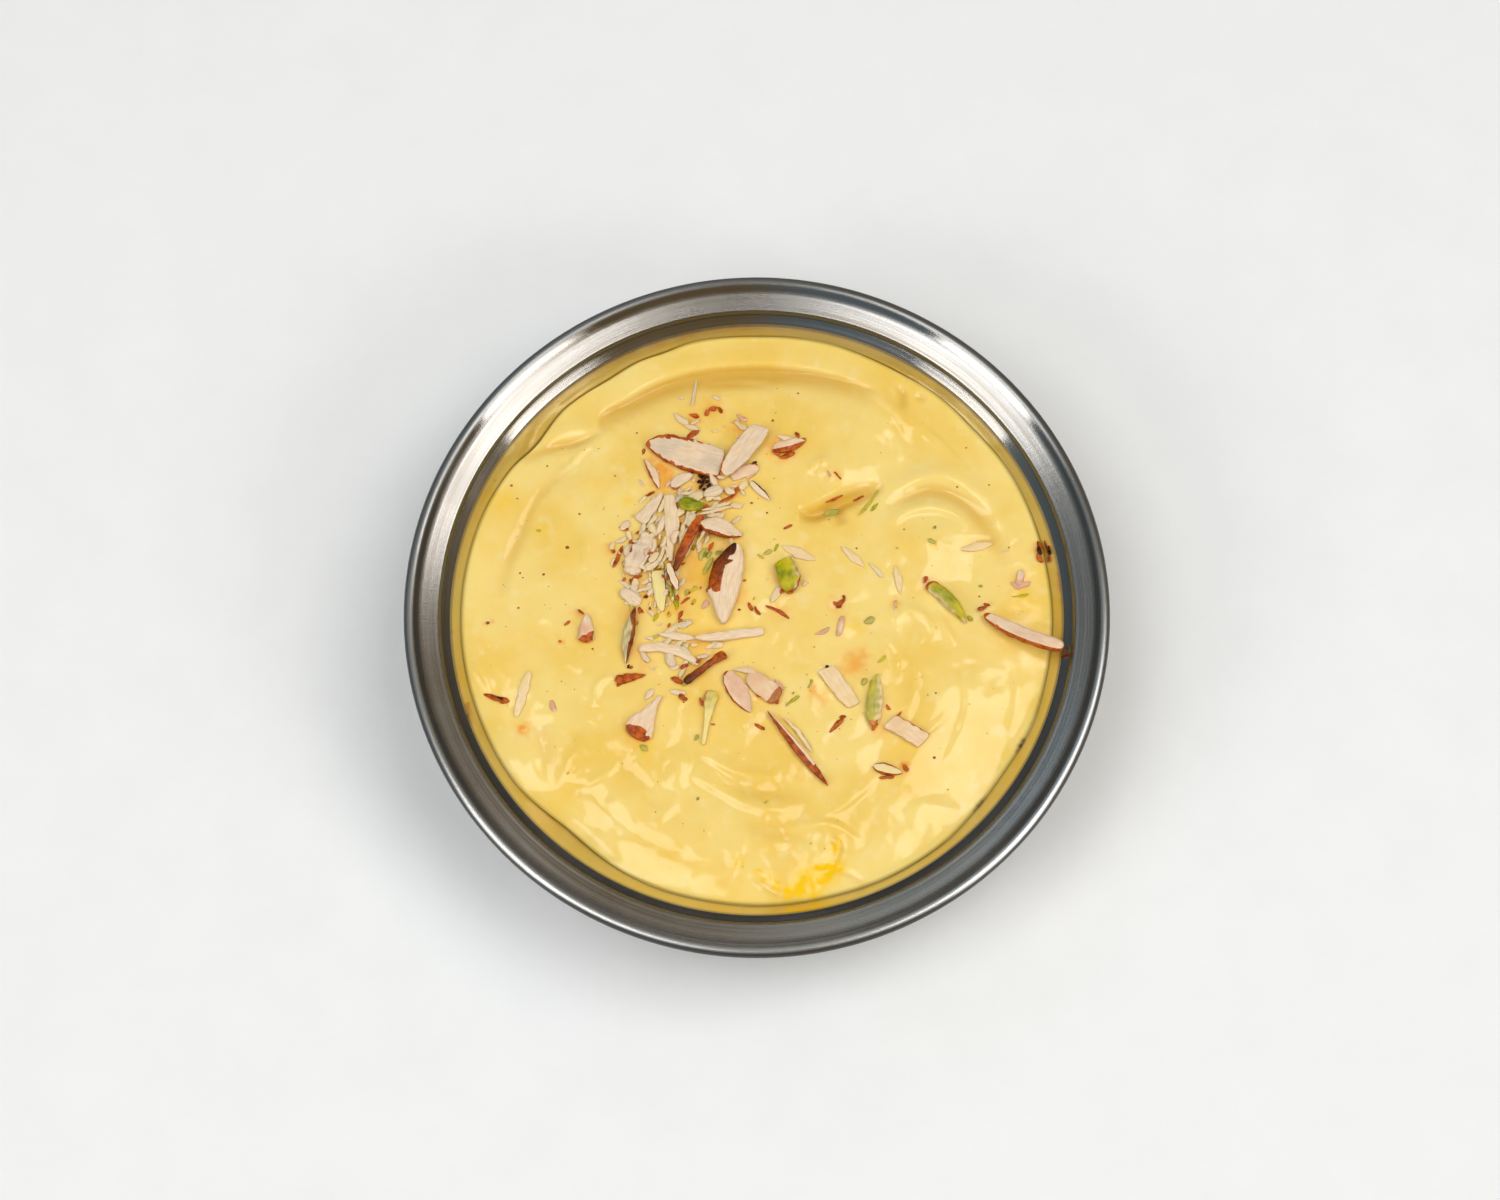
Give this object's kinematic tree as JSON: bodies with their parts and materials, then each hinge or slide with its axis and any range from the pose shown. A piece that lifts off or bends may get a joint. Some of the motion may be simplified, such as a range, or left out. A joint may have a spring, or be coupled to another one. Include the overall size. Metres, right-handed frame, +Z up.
{
  "type": "shrikhand in a steel bowl",
  "caption": "Flared steel bowl filled with saffron-yellow strained-yogurt dessert, topped with almond and pistachio slivers.",
  "frame": {"origin": "middle of the bowl's flat base, at the height of the surface it stands on", "axes": "+Z up; +X right and +Y away from someone who looks down at it"},
  "size_m": [0.15, 0.15, 0.0387],
  "materials": {
    "steel": "bright spun stainless steel with fine concentric polishing lines",
    "cream": "thick saffron-yellow strained yogurt, moist with a soft sheen",
    "almond": "cut almond, ivory and slightly fibrous",
    "almond_skin": "almond skin, red-brown and finely wrinkled",
    "pistachio": "cut pistachio, green with brown skin"
  },
  "bodies": {
    "root": {"bowl": "steel", "shrikhand": "cream", "almond_large": "almond", "almond_tail": "almond", "almond_tall": "almond", "almond_leaf_west": "almond", "almond_dark_edge": "almond", "almond_chip_mid": "almond", "almond_leaf_upper": "almond", "almond_strip": "almond", "pistachio_top": "pistachio", "almond_skin_strip": "almond_skin", "almond_wedge": "almond", "almond_half": "almond", "almond_crumbly": "almond", "almond_pale_strip": "almond", "almond_rimmed": "almond", "almond_chip_west": "almond", "pistachio_west": "pistachio", "almond_cross_west": "almond", "almond_cross": "almond", "almond_bent": "almond", "almond_skin_east": "almond_skin", "almond_skin_hook": "almond_skin", "almond_crescent": "almond", "pistachio_pale": "pistachio", "almond_oval_east": "almond", "almond_oval": "almond", "almond_long_skin": "almond_skin", "almond_block": "almond", "pistachio_crescent": "pistachio", "almond_oblong": "almond", "almond_small_oval": "almond", "pistachio_chunk": "pistachio", "almond_sunk_a": "almond", "almond_sunk_b": "almond", "almond_upright": "almond", "almond_pale_east": "almond", "pistachio_east": "pistachio", "almond_long": "almond", "almond_pink": "almond", "almond_pale_west": "almond", "almond_skin_curl": "almond_skin"}
  },
  "joints": []
}
